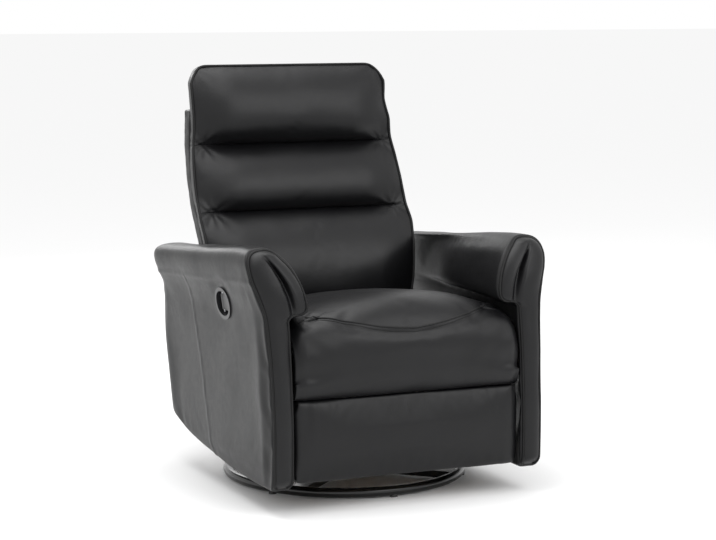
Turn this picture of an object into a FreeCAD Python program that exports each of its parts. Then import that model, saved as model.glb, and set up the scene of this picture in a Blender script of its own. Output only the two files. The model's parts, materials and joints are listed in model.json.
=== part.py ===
import FreeCAD, Part
import math
import os

# Swivel rocker recliner with a round tube base, in millimetres.
# The drawing frame has the swivel axis at x = 0 and y = 0, the floor at z = 0, the sitter facing -Y
# and the sitter's left hand at +X. Everything is moved along Y at the end, so that the origin lies
# under the middle of the whole chair.

# Driving dimensions
SHIFT_Y = -22.8
RING_RADIUS = 303.5
RING_TUBE_RADIUS = 12.5
GLIDE_LIFT = 3.0
GLIDE_COUNT = 6
GLIDE_RADIUS = 10.0
GLIDE_HEIGHT = 8.0
CROSSBAR_WIDTH = 38.0
CROSSBAR_BOTTOM = 10.0
CROSSBAR_TOP = GLIDE_LIFT + 2 * RING_TUBE_RADIUS
RACE_RADIUS = 90.0
RACE_PLATE = 3.0
TRACK_IN = 52.0
TRACK_OUT = 68.0
TRACK_HEIGHT = 3.0
BEARING_HEIGHT = 4.0
SKIRT_WALL = 4.0
SKIRT_DROP = 5.0
BOLT_RADIUS = 6.0
BOLT_HEAD_RADIUS = 11.0
BOLT_HEAD_HEIGHT = 6.0
BOLT_TOP = 56.0
NUT_RADIUS = 10.0
NUT_HEIGHT = 9.0
RUNNING_GAP = 0.05
FACE_GAP = 0.2

ROCK_AXIS_Z = 135.0
SHAFT_RADIUS = 8.0
SHAFT_HEAD_RADIUS = 14.0
SHAFT_HEAD_LENGTH = 8.0
CRADLE_Z = 42.0
CRADLE_HALF = 75.0
EAR_X = 98.0
EAR_TIP = 19.0
HANGER_X = 106.0
HANGER_FRONT_Y = -88.0
HANGER_REAR_Y = 100.0
PLATE = 4.0
BLOCK_HALF = 60.0
BLOCK_TOP = 92.0
BLOCK_TAPER = 4.0

RAIL_BOTTOM = 262.0
RAIL_TOP = 290.0
FRAME_TOP = 350.0
MOUNT_RAIL_WIDTH = 40.0
END_RAIL_WIDTH = 28.0
FRAME_FRONT_Y = -335.0
FRAME_REAR_Y = 105.0
FRAME_HALF = 305.0
SIDE_RAIL_IN = 271.4
STRAP_COUNT = 5
STRAP_WIDTH = 60.0
STRAP_THICK = 2.0

ARM_INNER_X = 305.0
ARM_OUTER_X = 362.0
ARM_FLARE_X = 400.0
ARM_LOBE_X = 254.0
ARM_ROLL_Z = 470.0
FRONT_PAD = 22.0
ARM_FRONT_TOP_Z = 641.0
ARM_REAR_TOP_Z = 581.0
ARM_BOTTOM_Z = 60.0
ARM_REAR_Y = 364.0
ARM_BOARD_IN = 318.0
ARM_BOARD_OUT = 343.0
ARM_SPLIT_X = 330.0
ARM_SPLIT_Z = 484.0
ARM_SEAM_FRONT_Z = 569.0
ARM_SEAM_REAR_Z = 505.0

SEAT_HALF = 300.0
SEAT_SIDE_Z = 468.0
SEAT_CROWN = 46.0
SEAT_NOSE_Y = -420.0
SEAT_BACK_Y = 144.0
SEAT_SPLIT_Y = -330.0
PANEL_SEAM_Z = 277.0
WELT_SIDE_X = 245.0
WELT_SIDE_Z = 474.0
WELT_LOW_Z = 430.0

FOOTREST_HALF = 300.0
FOOTREST_BOTTOM_Z = 76.0
FOOTREST_TOP_Z = 275.5
FOOTREST_BACK_Y = -346.0
FOOTREST_BOARD = 12.0
FOOTREST_FRONT_Y = -384.0
FOOTREST_CROWN = 18.0
GROOVE_DEPTH = 9.0

LINK_THICK = 3.0
LINK_GAP = 0.6
LINK_HALF_WIDTH = 11.0
BRACKET_FOOT = 26.0
PIN_RADIUS = 4.0
PIVOT_A1 = (-233.0, 263.0)
PIVOT_A2 = (-276.0, 259.9)
PIVOT_B1 = (-58.4, 188.2)
PIVOT_C = (-110.3, 178.3)
PIVOT_E = (-148.0, 213.2)
PIVOT_D1 = (-333.0, 136.3)
PIVOT_D2 = (-333.0, 240.6)
TORQUE_TUBE_RADIUS = 7.0
PIVOT_ROD_RADIUS = 5.0

BACK_HINGE_Y = 200.0
BACK_HINGE_Z = 330.0
BACK_PIN_RADIUS = 6.0
BACK_BOXING = 45.0
BACK_TOP_Z = 1047.0
HEAD_SEAM_Z = 840.0
LUMBAR_SEAM_Z = 667.0
LUMBAR_BOTTOM_Z = 390.0
PUFF_SHOULDER = 34.0
SEAM_CROWN = 8.0
SHELL_TOP_Z = 930.0
SHELL_BOTTOM_Z = 212.0
SHELL_DEPTH = 40.0
SHELL_LAP = 20.0
SHELL_BOW = 20.0
POST_IN = 228.0
POST_OUT = 258.0
POST_DEPTH = 28.0

HANDLE_Y = -120.0
HANDLE_Z = 484.0
HANDLE_TILT = 8.0
HANDLE_HALF_LENGTH = 50.0
HANDLE_HALF_HEIGHT = 40.0
HANDLE_FACE_X = 381.0
HANDLE_FLOOR_X = 352.0
HANDLE_WALL = 4.0
HANDLE_RIM = 5.0
PADDLE_BACK_X = 366.0
PADDLE_FRONT_X = 370.5
PADDLE_HALF_HEIGHT = 20.0
PADDLE_REACH = 27.0
PADDLE_CORNER = 12.0
PADDLE_PIN_RADIUS = 2.5
PADDLE_PIN_LENGTH = 52.0
PADDLE_PIN_X = 368.0
PADDLE_PIN_Y = -96.0
BARREL_RADIUS = 5.0

# Longer than the piece that a tool cuts
THROUGH = 60.0

# Edge of the back's front panel seen from the side, as (height, depth)
BACK_EDGE = [
    (390, 170), (480, 190), (560, 207), (600, 222), (640, 248), (667, 263), (700, 285), (750, 306),
    (800, 327), (840, 341), (880, 348), (930, 360), (985, 371), (1015, 380), (1035, 391), (1047, 402),
]

# Half width of the back's front panel, as (height, half width)
BACK_HALF = [
    (390, 264), (480, 287), (560, 292), (600, 294), (640, 296), (700, 297), (750, 296), (800, 293),
    (840, 290), (880, 286), (930, 282), (985, 281), (1015, 277), (1035, 264), (1047, 240),
]

# Line from the side where the padded front of the back meets the frame, as (depth, height)
SPLIT = [
    (205, 205), (208, 300), (217, 390), (235, 480), (256, 580), (308, 667), (350, 750), (386, 840),
    (403, 920), (418, 985), (440, 1060),
]
SPLIT_BY_HEIGHT = [(z, y) for y, z in SPLIT]

# Half width of the outer back, as (height, half width)
SHELL_HALF = [
    (205, 254), (390, 262), (480, 286), (560, 292), (667, 296), (750, 293), (840, 286), (930, 277),
]

# How far each puff stands in front of its piping, as (height, crown)
HEAD_PUFF = [
    (HEAD_SEAM_Z, SEAM_CROWN), (866, 34), (925, 46), (985, 44), (1018, 34), (1036, 22), (BACK_TOP_Z, 10),
]
MIDDLE_PUFF = [
    (LUMBAR_SEAM_Z, SEAM_CROWN), (694, 34), (752, 46), (814, 36), (HEAD_SEAM_Z, SEAM_CROWN),
]
LUMBAR_PUFF = [
    (LUMBAR_BOTTOM_Z, SEAM_CROWN), (440, 28), (530, 50), (600, 52), (640, 38),
    (LUMBAR_SEAM_Z, SEAM_CROWN),
]

os.makedirs("parts", exist_ok=True)


def vec(x, y, z):
    return FreeCAD.Vector(x, y, z)


def save(name, shape):
    """Move a finished piece to the shared frame and write it."""
    moved = shape.copy()
    moved.translate(vec(0, SHIFT_Y, 0))
    moved.exportStep(f"parts/{name}.step")


def box(x0, x1, y0, y1, z0, z1):
    return Part.makeBox(x1 - x0, y1 - y0, z1 - z0, vec(x0, y0, z0))


def disc(radius, z0, z1, x=0.0, y=0.0):
    return Part.makeCylinder(radius, z1 - z0, vec(x, y, z0))


def bolt_hole(gap=0.0):
    return disc(BOLT_RADIUS + gap, 0, THROUGH)


def rod_x(radius, x0, x1, point):
    """A round bar along X through a (y, z) point."""
    return Part.makeCylinder(radius, x1 - x0, vec(x0, point[0], point[1]), vec(1, 0, 0))


def mirrored(shape):
    """The same piece on the other side of the chair."""
    return shape.mirror(vec(0, 0, 0), vec(1, 0, 0))


def arc_edge(a, middle, b):
    return Part.Arc(a, middle, b).toShape()


def line_edge(a, b):
    return Part.LineSegment(a, b).toShape()


def outline(points, place):
    """A closed wire. Each point is (u, v), and a third value bows the edge that leaves it to its right."""
    edges = []
    count = len(points)
    for i in range(count):
        u0, v0 = points[i][0], points[i][1]
        u1, v1 = points[(i + 1) % count][0], points[(i + 1) % count][1]
        bow = points[i][2] if len(points[i]) > 2 else 0.0
        if bow == 0.0:
            edges.append(line_edge(place(u0, v0), place(u1, v1)))
            continue
        length = math.hypot(u1 - u0, v1 - v0)
        mid_u = (u0 + u1) / 2 + bow * (v1 - v0) / length
        mid_v = (v0 + v1) / 2 - bow * (u1 - u0) / length
        edges.append(arc_edge(place(u0, v0), place(mid_u, mid_v), place(u1, v1)))
    return Part.Wire(edges)


def plate_x(points, x0, x1):
    """A plate with a (y, z) outline, from x0 to x1."""
    wire = outline(points, lambda u, v: vec(x0, u, v))
    return Part.Face(wire).extrude(vec(x1 - x0, 0, 0))


def loft(wires, ruled=False):
    return Part.makeLoft(wires, True, ruled)


# Base: ring, cross bars, glides
def base_ring():
    return Part.makeTorus(RING_RADIUS, RING_TUBE_RADIUS, vec(0, 0, GLIDE_LIFT + RING_TUBE_RADIUS))


def base_cross():
    """Two flat tubes crossed under the swivel, with ends shaped to the ring."""
    half = CROSSBAR_WIDTH / 2
    bars = []
    for angle in (45, 135):
        bar = box(-RING_RADIUS, RING_RADIUS, -half, half, CROSSBAR_BOTTOM, CROSSBAR_TOP)
        bar.rotate(vec(0, 0, 0), vec(0, 0, 1), angle)
        bars.append(bar)
    cross = bars[0].fuse(bars[1]).removeSplitter()
    coped = cross.cut(base_ring()).cut(bolt_hole())
    return max(coped.Solids, key=lambda solid: solid.Volume)


def base_glides():
    """Flat plastic feet clipped under the ring."""
    pads = []
    for index in range(GLIDE_COUNT):
        angle = 2 * math.pi * (index + 0.5) / GLIDE_COUNT
        x = RING_RADIUS * math.cos(angle)
        y = RING_RADIUS * math.sin(angle)
        pads.append(disc(GLIDE_RADIUS, 0, GLIDE_HEIGHT, x, y).cut(base_ring()))
    return Part.makeCompound(pads)


# Swivel bearing on the cross bars
def lower_race():
    track_z = CROSSBAR_TOP + RACE_PLATE
    race = disc(RACE_RADIUS - 6, CROSSBAR_TOP, track_z)
    track = disc(TRACK_OUT, track_z, track_z + TRACK_HEIGHT).cut(disc(TRACK_IN, 0, THROUGH))
    return race.fuse(track).removeSplitter().cut(bolt_hole())


def bearing_ring():
    z0 = CROSSBAR_TOP + RACE_PLATE + TRACK_HEIGHT
    return disc(TRACK_OUT - 2, z0, z0 + BEARING_HEIGHT).cut(disc(TRACK_IN + 2, 0, THROUGH))


def upper_race():
    """The turning plate, with a skirt round the bearing."""
    z0 = CROSSBAR_TOP + RACE_PLATE + TRACK_HEIGHT + BEARING_HEIGHT + FACE_GAP
    race = disc(RACE_RADIUS, z0, CRADLE_Z)
    skirt = disc(RACE_RADIUS, z0 - SKIRT_DROP, CRADLE_Z).cut(disc(RACE_RADIUS - SKIRT_WALL, 0, z0))
    return race.fuse(skirt).removeSplitter().cut(bolt_hole(RUNNING_GAP))


def swivel_bolt():
    shank = disc(BOLT_RADIUS, CROSSBAR_BOTTOM, BOLT_TOP)
    head = disc(BOLT_HEAD_RADIUS, CROSSBAR_BOTTOM - BOLT_HEAD_HEIGHT, CROSSBAR_BOTTOM)
    return shank.fuse(head).removeSplitter()


def swivel_nut():
    """A six-sided nut just above the turning plate."""
    corners = []
    for i in range(6):
        angle = math.radians(60 * i)
        corners.append(vec(NUT_RADIUS * math.cos(angle), NUT_RADIUS * math.sin(angle), CRADLE_Z + 0.5))
    corners.append(corners[0])
    hexagon = Part.Face(Part.makePolygon(corners)).extrude(vec(0, 0, NUT_HEIGHT))
    return hexagon.cut(bolt_hole())


# Rocker: cradle on the swivel, hanger under the seat, shaft through both
def shaft_hole(gap):
    return rod_x(SHAFT_RADIUS + gap, -FRAME_HALF, FRAME_HALF, (0, ROCK_AXIS_Z))


def rocker_cradle():
    z0, half, tip = CRADLE_Z, CRADLE_HALF, EAR_TIP
    floor = box(-EAR_X - PLATE, EAR_X + PLATE, -half, half, z0, z0 + PLATE).cut(disc(22, 0, THROUGH))
    points = [(-half, z0), (-half, 62), (-tip, 146, -tip), (tip, 146), (half, 62), (half, z0)]
    ear = plate_x(points, EAR_X, EAR_X + PLATE)
    return floor.fuse(ear).fuse(mirrored(ear)).removeSplitter().cut(shaft_hole(RUNNING_GAP))


def rocker_hanger():
    """A steel channel under the mount rails, with a side plate outside each ear."""
    half, top_z = HANGER_X + PLATE, RAIL_BOTTOM
    top = box(-half, half, HANGER_FRONT_Y, HANGER_REAR_Y, top_z - PLATE, top_z)
    points = [
        (HANGER_FRONT_Y, top_z),
        (HANGER_FRONT_Y, 240),
        (-20, 127, 20),
        (20, 127),
        (HANGER_REAR_Y, 240),
        (HANGER_REAR_Y, top_z),
    ]
    side = plate_x(points, HANGER_X, half)
    return top.fuse(side).fuse(mirrored(side)).removeSplitter().cut(shaft_hole(0))


def rock_shaft():
    """The shaft, with a head at each end outside the hanger."""
    end = HANGER_X + PLATE
    shaft = rod_x(SHAFT_RADIUS, -end, end, (0, ROCK_AXIS_Z))
    head = rod_x(SHAFT_HEAD_RADIUS, end, end + SHAFT_HEAD_LENGTH, (0, ROCK_AXIS_Z))
    return shaft.fuse(head).fuse(mirrored(head)).removeSplitter()


def rock_block(y0, y1):
    """A rubber block on the cradle floor, which ends the rocking."""
    foot = CRADLE_Z + PLATE
    points = [(y0, foot), (y0 + BLOCK_TAPER, BLOCK_TOP), (y1 - BLOCK_TAPER, BLOCK_TOP), (y1, foot)]
    return plate_x(points, -BLOCK_HALF, BLOCK_HALF)


# Seat webbing: straps from the front rail to the rear rail
def seat_webbing():
    straps = []
    pitch = 2 * SIDE_RAIL_IN / STRAP_COUNT
    for i in range(STRAP_COUNT):
        middle = -SIDE_RAIL_IN + pitch * (i + 0.5)
        x0, x1 = middle - STRAP_WIDTH / 2, middle + STRAP_WIDTH / 2
        straps.append(box(x0, x1, FRAME_FRONT_Y, FRAME_REAR_Y, FRAME_TOP, FRAME_TOP + STRAP_THICK))
    return Part.makeCompound(straps)


# Arms
def arm_section(y, top, lobe):
    """One closed section across an arm. The lobe is the share of the roll's full reach over the seat."""
    scale = (top - ARM_ROLL_Z) / (ARM_FRONT_TOP_Z - ARM_ROLL_Z)

    def high(z):
        return ARM_ROLL_Z + (z - ARM_ROLL_Z) * scale

    def inner(x):
        return ARM_INNER_X - (ARM_INNER_X - x) * lobe + 14 * (1 - lobe) * (x > ARM_LOBE_X)

    points = [
        (ARM_INNER_X, ARM_BOTTOM_Z - 10),
        (ARM_OUTER_X, ARM_BOTTOM_Z - 10),
        (ARM_OUTER_X, 400, -4),
        (ARM_FLARE_X, high(597), 16),
        (349, top, 7),
        (inner(291), high(601), 9),
        (inner(ARM_LOBE_X), high(497), 4 * lobe + 0.5),
        (ARM_INNER_X - 38 * lobe - 0.5, 486),
        (ARM_INNER_X, 486),
    ]
    return outline(points, lambda u, v: vec(u, y, v))


def arm_block():
    """The whole upholstered arm before its side outline is cut."""
    return loft([
        arm_section(-430, ARM_FRONT_TOP_Z, 1.0),
        arm_section(-330, ARM_FRONT_TOP_Z, 1.0),
        arm_section(-210, 630, 0.97),
        arm_section(-90, 619, 0.82),
        arm_section(0, 612, 0.52),
        arm_section(80, 605, 0.2),
        arm_section(140, 600, 0.03),
        arm_section(250, 591, 0.01),
        arm_section(400, ARM_REAR_TOP_Z - 4, 0.01),
    ], ruled=True)


def arm_side_points(inset):
    """The arm from the side: leaning front, rounded toe, rocker-like rise to the rear."""
    return [
        (-310 + inset, 700),
        (-371 + inset, 497, 4),
        (-398 + inset, 290, 2),
        (-402 + inset, 84, 7),
        (-380 + inset, ARM_BOTTOM_Z),
        (-190, ARM_BOTTOM_Z, 5),
        (234, 109, 2),
        (320, 134, 3),
        (ARM_REAR_Y, 318, 6),
        (345, 700),
    ]


def build_arm():
    """The four pieces of the arm at the sitter's left."""
    block = arm_block().common(plate_x(arm_side_points(0), 200, 450))
    board_points = [
        (-330, 440), (-345, 110), (-190, 100), (225, 145), (305, 170), (325, 318), (320, 440)
    ]
    board = plate_x(board_points, ARM_BOARD_IN, ARM_BOARD_OUT)
    behind = plate_x(arm_side_points(FRONT_PAD), 200, 450)
    front = block.cut(behind)
    rest = block.common(behind).cut(board)
    seam_points = [(-450, ARM_SEAM_FRONT_Z), (-450, 0), (420, 0), (420, ARM_SEAM_REAR_Z)]
    outer_low = plate_x(seam_points, ARM_SPLIT_X, 460)
    inner_low = box(200, ARM_SPLIT_X, -450, 420, 0, ARM_SPLIT_Z)
    lower = outer_low.fuse(inner_low)
    return {"board": board, "front": front, "side": rest.common(lower), "roll": rest.cut(lower)}


# Seat
def seat_section(x):
    """A section of the seat from back to nose at one place across."""
    spread = (x / SEAT_HALF) ** 2
    top = SEAT_SIDE_Z + SEAT_CROWN * (1 - spread)
    nose = SEAT_NOSE_Y + 16 * spread
    points = [
        (105, 400),
        (SEAT_BACK_Y, 400),
        (SEAT_BACK_Y, top - 24, 6),
        (SEAT_BACK_Y - 24, top - 4, 3),
        (-300, top, 18),
        (nose, top - 88, 5),
        (-398, PANEL_SEAM_Z),
        (-337, PANEL_SEAM_Z),
        (-337, FRAME_TOP + 4),
        (105, FRAME_TOP + 4),
    ]
    return outline(points, lambda u, v: vec(x, u, v))


def below_welt():
    """The space under the sagging arc of the welt, in front of the split."""
    sag = WELT_SIDE_Z - WELT_LOW_Z
    radius = (WELT_SIDE_X ** 2 + sag ** 2) / (2 * sag)
    half = SEAT_HALF + 2
    edge_z = WELT_LOW_Z + radius - math.sqrt(radius ** 2 - half ** 2)
    start_y = SEAT_NOSE_Y - 40

    def place(x, z):
        return vec(x, start_y, z)

    top = arc_edge(place(-half, edge_z), place(0, WELT_LOW_Z), place(half, edge_z))
    corners = [place(half, edge_z), place(half, 250), place(-half, 250), place(-half, edge_z)]
    face = Part.Face(Part.Wire([top] + Part.makePolygon(corners).Edges))
    return face.extrude(vec(0, SEAT_SPLIT_Y - start_y, 0))


def build_seat():
    """The cushion and its front border."""
    whole = loft([seat_section(x) for x in (-SEAT_HALF, -190, 0, 190, SEAT_HALF)])
    region = below_welt()
    return whole.cut(region), whole.common(region)


# Footrest panel
def footrest_section(z, half, crown):
    points = [
        (-half, FOOTREST_BACK_Y - FOOTREST_BOARD),
        (-half, FOOTREST_FRONT_Y, 3),
        (-half + 16, FOOTREST_FRONT_Y - crown * 0.6, crown * 0.4),
        (half - 16, FOOTREST_FRONT_Y - crown * 0.6, 3),
        (half, FOOTREST_FRONT_Y),
        (half, FOOTREST_BACK_Y - FOOTREST_BOARD),
    ]
    return outline(points, lambda u, v: vec(u, v, z))


def footrest_pad():
    half = FOOTREST_HALF
    low, high = FOOTREST_BOTTOM_Z, FOOTREST_TOP_Z
    return loft([
        footrest_section(low, half - 1, 4),
        footrest_section(low + 28, half, FOOTREST_CROWN),
        footrest_section((low + high) / 2, half, FOOTREST_CROWN + 2),
        footrest_section(high - 24, half - 2, FOOTREST_CROWN - 2),
        footrest_section(high, half - 12, 5),
    ])


def footrest_board():
    """Plywood behind the pad, grooved at the ends of the top links."""
    board = box(-285, 285, FOOTREST_BACK_Y - FOOTREST_BOARD, FOOTREST_BACK_Y, 86, 262)
    x0, x1 = layer(4)
    groove = box(x0 - 0.5, x1 + 0.5, FOOTREST_BACK_Y - GROOVE_DEPTH, FOOTREST_BACK_Y, 205, 262)
    return board.cut(groove).cut(mirrored(groove))


# Footrest mechanism: links in layers, from the outside in
def layer(index):
    """The x range of one layer of flat links on the sitter's left side."""
    outer = 275.0 - index * (LINK_THICK + LINK_GAP)
    return outer - LINK_THICK, outer


def link_bar(start, end, index, half_width=LINK_HALF_WIDTH):
    """A flat link with round ends."""
    x0, x1 = layer(index)
    length = math.hypot(end[0] - start[0], end[1] - start[1])
    across_y = (start[1] - end[1]) / length * half_width
    across_z = (end[0] - start[0]) / length * half_width

    def side(point, sign):
        return (point[0] + sign * across_y, point[1] + sign * across_z)

    end_bow = -0.999 * half_width
    points = [side(start, 1), side(end, 1) + (end_bow,), side(end, -1), side(start, -1) + (end_bow,)]
    return plate_x(points, x0, x1)


def drilled(shape, points, radius):
    for point in points:
        shape = shape.cut(rod_x(radius, -FRAME_HALF, FRAME_HALF, point))
    return shape


def rivet(point, first, last):
    """A rivet through the layers first to last, counted from the outside."""
    return rod_x(PIN_RADIUS, layer(last)[0], layer(first)[1], point)


def rear_link():
    """Swings on the torque tube and carries the front link."""
    bar = drilled(link_bar(PIVOT_A1, PIVOT_B1, 0), [PIVOT_A1], TORQUE_TUBE_RADIUS)
    return bar.fuse(rivet(PIVOT_B1, 0, 3)).removeSplitter()


def side_plate():
    """The steel plate under the seat that holds the fixed pivots of one side."""
    x0, x1 = layer(1)
    points = [(-304, 262), (-290, 243), (-222, 243), (-60, 300), (-60, 340), (-304, 340)]
    plate = drilled(plate_x(points, x0, x1), [PIVOT_A1], TORQUE_TUBE_RADIUS + RUNNING_GAP)
    return plate.fuse(rivet(PIVOT_A2, 1, 2)).removeSplitter()


def guide_link():
    """Second link from the side plate. Its head carries the top link."""
    bar = link_bar(PIVOT_A2, PIVOT_C, 2).fuse(link_bar(PIVOT_C, PIVOT_E, 2)).removeSplitter()
    bar = drilled(bar, [PIVOT_A2, PIVOT_C], PIN_RADIUS + RUNNING_GAP)
    return bar.fuse(rivet(PIVOT_E, 2, 4)).removeSplitter()


def front_link():
    bar = link_bar(PIVOT_B1, PIVOT_D1, 3)
    bar = drilled(bar, [PIVOT_B1], PIN_RADIUS + RUNNING_GAP)
    bar = drilled(bar, [PIVOT_D1], PIVOT_ROD_RADIUS)
    return drilled(bar, [PIVOT_C], PIN_RADIUS + RUNNING_GAP)


def top_link():
    bar = link_bar(PIVOT_E, PIVOT_D2, 4)
    return drilled(bar, [PIVOT_E, PIVOT_D2], PIN_RADIUS + RUNNING_GAP)


def footrest_bracket():
    """A flat steel bracket with its foot screwed to the board."""
    x0, x1 = layer(5)
    y = FOOTREST_BACK_Y
    low, high = 112, 258
    points = [(y, low), (-333, 120), (-318, 136), (-318, 240), (-333, 254), (y, high)]
    foot = box(x0 - BRACKET_FOOT, x1, y, y + LINK_THICK, low, high)
    bracket = plate_x(points, x0, x1).fuse(foot).removeSplitter()
    bracket = drilled(bracket, [PIVOT_D1], PIVOT_ROD_RADIUS + RUNNING_GAP)
    return drilled(bracket, [PIVOT_D2], PIN_RADIUS + RUNNING_GAP)


# Back
def along(table, z):
    """The value of a measured edge at a height."""
    for (z0, a), (z1, b) in zip(table, table[1:]):
        if z <= z1:
            return a + (b - a) * max(0.0, z - z0) / (z1 - z0)
    return table[-1][1]


def puff_section(z, crown):
    """A section of the padded front of the back at one height."""
    half, edge = along(BACK_HALF, z), along(BACK_EDGE, z)
    rear = edge + BACK_BOXING + 12
    points = [
        (half, rear),
        (-half, rear),
        (-half, edge, 4),
        (-half + PUFF_SHOULDER, edge - 0.72 * crown, 0.28 * crown),
        (half - PUFF_SHOULDER, edge - 0.72 * crown, 4),
        (half, edge),
    ]
    return outline(points, lambda u, v: vec(u, v, z))


def puff(levels):
    """A soft channel of the back: its depth at the seams and between them."""
    solid = loft([puff_section(z, crown) for z, crown in levels])
    front = plate_x([(100, 205)] + SPLIT + [(100, 1060)], -400, 400)
    return solid.common(front)


def shell_section(z):
    half = along(SHELL_HALF, z)
    front = along(SPLIT_BY_HEIGHT, z) - SHELL_LAP
    rear = front + SHELL_LAP + SHELL_DEPTH
    points = [(half, front), (half, rear, SHELL_BOW), (-half, rear), (-half, front)]
    return outline(points, lambda u, v: vec(u, v, z))


def back_shell(frame):
    """The outer back, hollowed for the frame."""
    heights = [SHELL_BOTTOM_Z, 300, 390, 480, 580, 667, 750, 840, SHELL_TOP_Z]
    solid = loft([shell_section(z) for z in heights])
    rear = plate_x(SPLIT + [(560, 1060), (560, 205)], -400, 400)
    shell = solid.common(rear)
    for piece in frame:
        shell = shell.cut(piece)
    return shell


def back_post():
    """A post of the back frame, sawn to the curve of the back."""
    front = [point for point in SPLIT if point[1] < SHELL_TOP_Z]
    rear = [(y + POST_DEPTH, z) for y, z in reversed(front)]
    post = plate_x(front + rear, POST_IN, POST_OUT)
    return post.cut(rod_x(BACK_PIN_RADIUS + RUNNING_GAP, 240, 300, (BACK_HINGE_Y, BACK_HINGE_Z)))


def back_rail(z0, z1):
    """A rail between the posts, laid along their front edge."""
    y0 = along(SPLIT_BY_HEIGHT, z0)
    y1 = along(SPLIT_BY_HEIGHT, z1)
    points = [(y0, z0), (y1, z1), (y1 + POST_DEPTH, z1), (y0 + POST_DEPTH, z0)]
    return plate_x(points, -POST_IN, POST_IN)


def back_bracket():
    """The steel plate on the seat frame with the pin that the back turns on."""
    x0, x1 = layer(1)
    centre = (BACK_HINGE_Y, BACK_HINGE_Z)
    points = [(-20, 296), (180, 296), (200, 312, 17.9), (200, 348), (-20, 348)]
    plate = plate_x(points, x0, x1)
    return plate.fuse(rod_x(BACK_PIN_RADIUS, 244, x1, centre)).removeSplitter()


# Release handle in the outer side of the right arm, drawn at +X and mirrored
def oval(half_y, half_z, x0, x1):
    """A straight-sided block with an oval outline of four arcs that run into each other."""
    corner_y, corner_z = 0.62 * half_y, 0.8025 * half_z
    end_bow, top_bow = half_y - corner_y, half_z - corner_z
    points = [
        (HANDLE_Y + corner_y, HANDLE_Z - corner_z, end_bow),
        (HANDLE_Y + corner_y, HANDLE_Z + corner_z, top_bow),
        (HANDLE_Y - corner_y, HANDLE_Z + corner_z, end_bow),
        (HANDLE_Y - corner_y, HANDLE_Z - corner_z, top_bow),
    ]
    return plate_x(points, x0, x1)


def tilted(shape):
    """Lean a handle piece with the flare of the arm."""
    shape.rotate(vec(375, HANDLE_Y, HANDLE_Z), vec(0, 1, 0), HANDLE_TILT)
    return shape


def handle_envelope():
    """The cup with its rim, before it is hollowed."""
    cup_length = HANDLE_HALF_LENGTH - HANDLE_RIM
    cup_height = HANDLE_HALF_HEIGHT - HANDLE_RIM
    cup = oval(cup_length, cup_height, HANDLE_FLOOR_X, HANDLE_FACE_X)
    rim = oval(HANDLE_HALF_LENGTH, HANDLE_HALF_HEIGHT, HANDLE_FACE_X - 8, HANDLE_FACE_X)
    return cup.fuse(rim).removeSplitter()


def paddle_pin(radius, length):
    """An upright bar at the hinge of the paddle."""
    return Part.makeCylinder(radius, length, vec(PADDLE_PIN_X, PADDLE_PIN_Y, HANDLE_Z - length / 2))


def handle_bezel():
    wall = HANDLE_RIM + HANDLE_WALL
    length, height = HANDLE_HALF_LENGTH - wall, HANDLE_HALF_HEIGHT - wall
    cavity = oval(length, height, HANDLE_FLOOR_X + 3, HANDLE_FACE_X + 1)
    return handle_envelope().cut(cavity).cut(paddle_pin(PADDLE_PIN_RADIUS, PADDLE_PIN_LENGTH))


def handle_paddle():
    """A rounded plate with a barrel at its rear edge."""
    low, high = HANDLE_Z - PADDLE_HALF_HEIGHT, HANDLE_Z + PADDLE_HALF_HEIGHT
    plate = box(PADDLE_BACK_X, PADDLE_FRONT_X, HANDLE_Y - PADDLE_REACH, PADDLE_PIN_Y, low, high)
    thick = PADDLE_FRONT_X - PADDLE_BACK_X
    short = [edge for edge in plate.Edges if abs(edge.Length - thick) < 0.01]
    plate = plate.makeFillet(PADDLE_CORNER, [edge for edge in short if edge.CenterOfMass.y < HANDLE_Y])
    paddle = plate.fuse(paddle_pin(BARREL_RADIUS, 2 * PADDLE_HALF_HEIGHT)).removeSplitter()
    return paddle.cut(paddle_pin(PADDLE_PIN_RADIUS + RUNNING_GAP, THROUGH))


def save_pair(name, shape):
    """Save a piece of the sitter's left side and its mirror image on the right."""
    save(f"{name}_left", shape)
    save(f"{name}_right", mirrored(shape))


def build_base():
    save("base_ring", base_ring())
    save("base_cross", base_cross())
    save("base_glides", base_glides())
    save("swivel_lower_race", lower_race())
    save("swivel_bearing_ring", bearing_ring())
    save("swivel_bolt", swivel_bolt())
    save("swivel_nut", swivel_nut())


def build_rocker():
    save("swivel_upper_race", upper_race())
    save("rocker_cradle", rocker_cradle())
    save("rock_block_front", rock_block(-74, -46))
    save("rock_block_rear", rock_block(46, 74))
    save("rocker_hanger", rocker_hanger())
    save("rock_shaft", rock_shaft())


def build_seat_frame():
    half, inner, wide = FRAME_HALF, SIDE_RAIL_IN, MOUNT_RAIL_WIDTH
    front, rear = FRAME_FRONT_Y, FRAME_REAR_Y
    mount_front, mount_rear = HANGER_FRONT_Y, HANGER_REAR_Y
    save("mount_rail_front", box(-half, half, mount_front, mount_front + wide, RAIL_BOTTOM, RAIL_TOP))
    save("mount_rail_rear", box(-half, half, mount_rear - wide, mount_rear, RAIL_BOTTOM, RAIL_TOP))
    save_pair("seat_rail", box(inner, half, front, rear, RAIL_TOP, FRAME_TOP))
    save("seat_rail_front", box(-inner, inner, front, front + END_RAIL_WIDTH, RAIL_TOP, FRAME_TOP))
    inside = layer(1)[0]
    save("seat_rail_rear", box(-inside, inside, rear - 25, rear, RAIL_TOP, FRAME_TOP))
    save("seat_webbing", seat_webbing())


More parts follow.
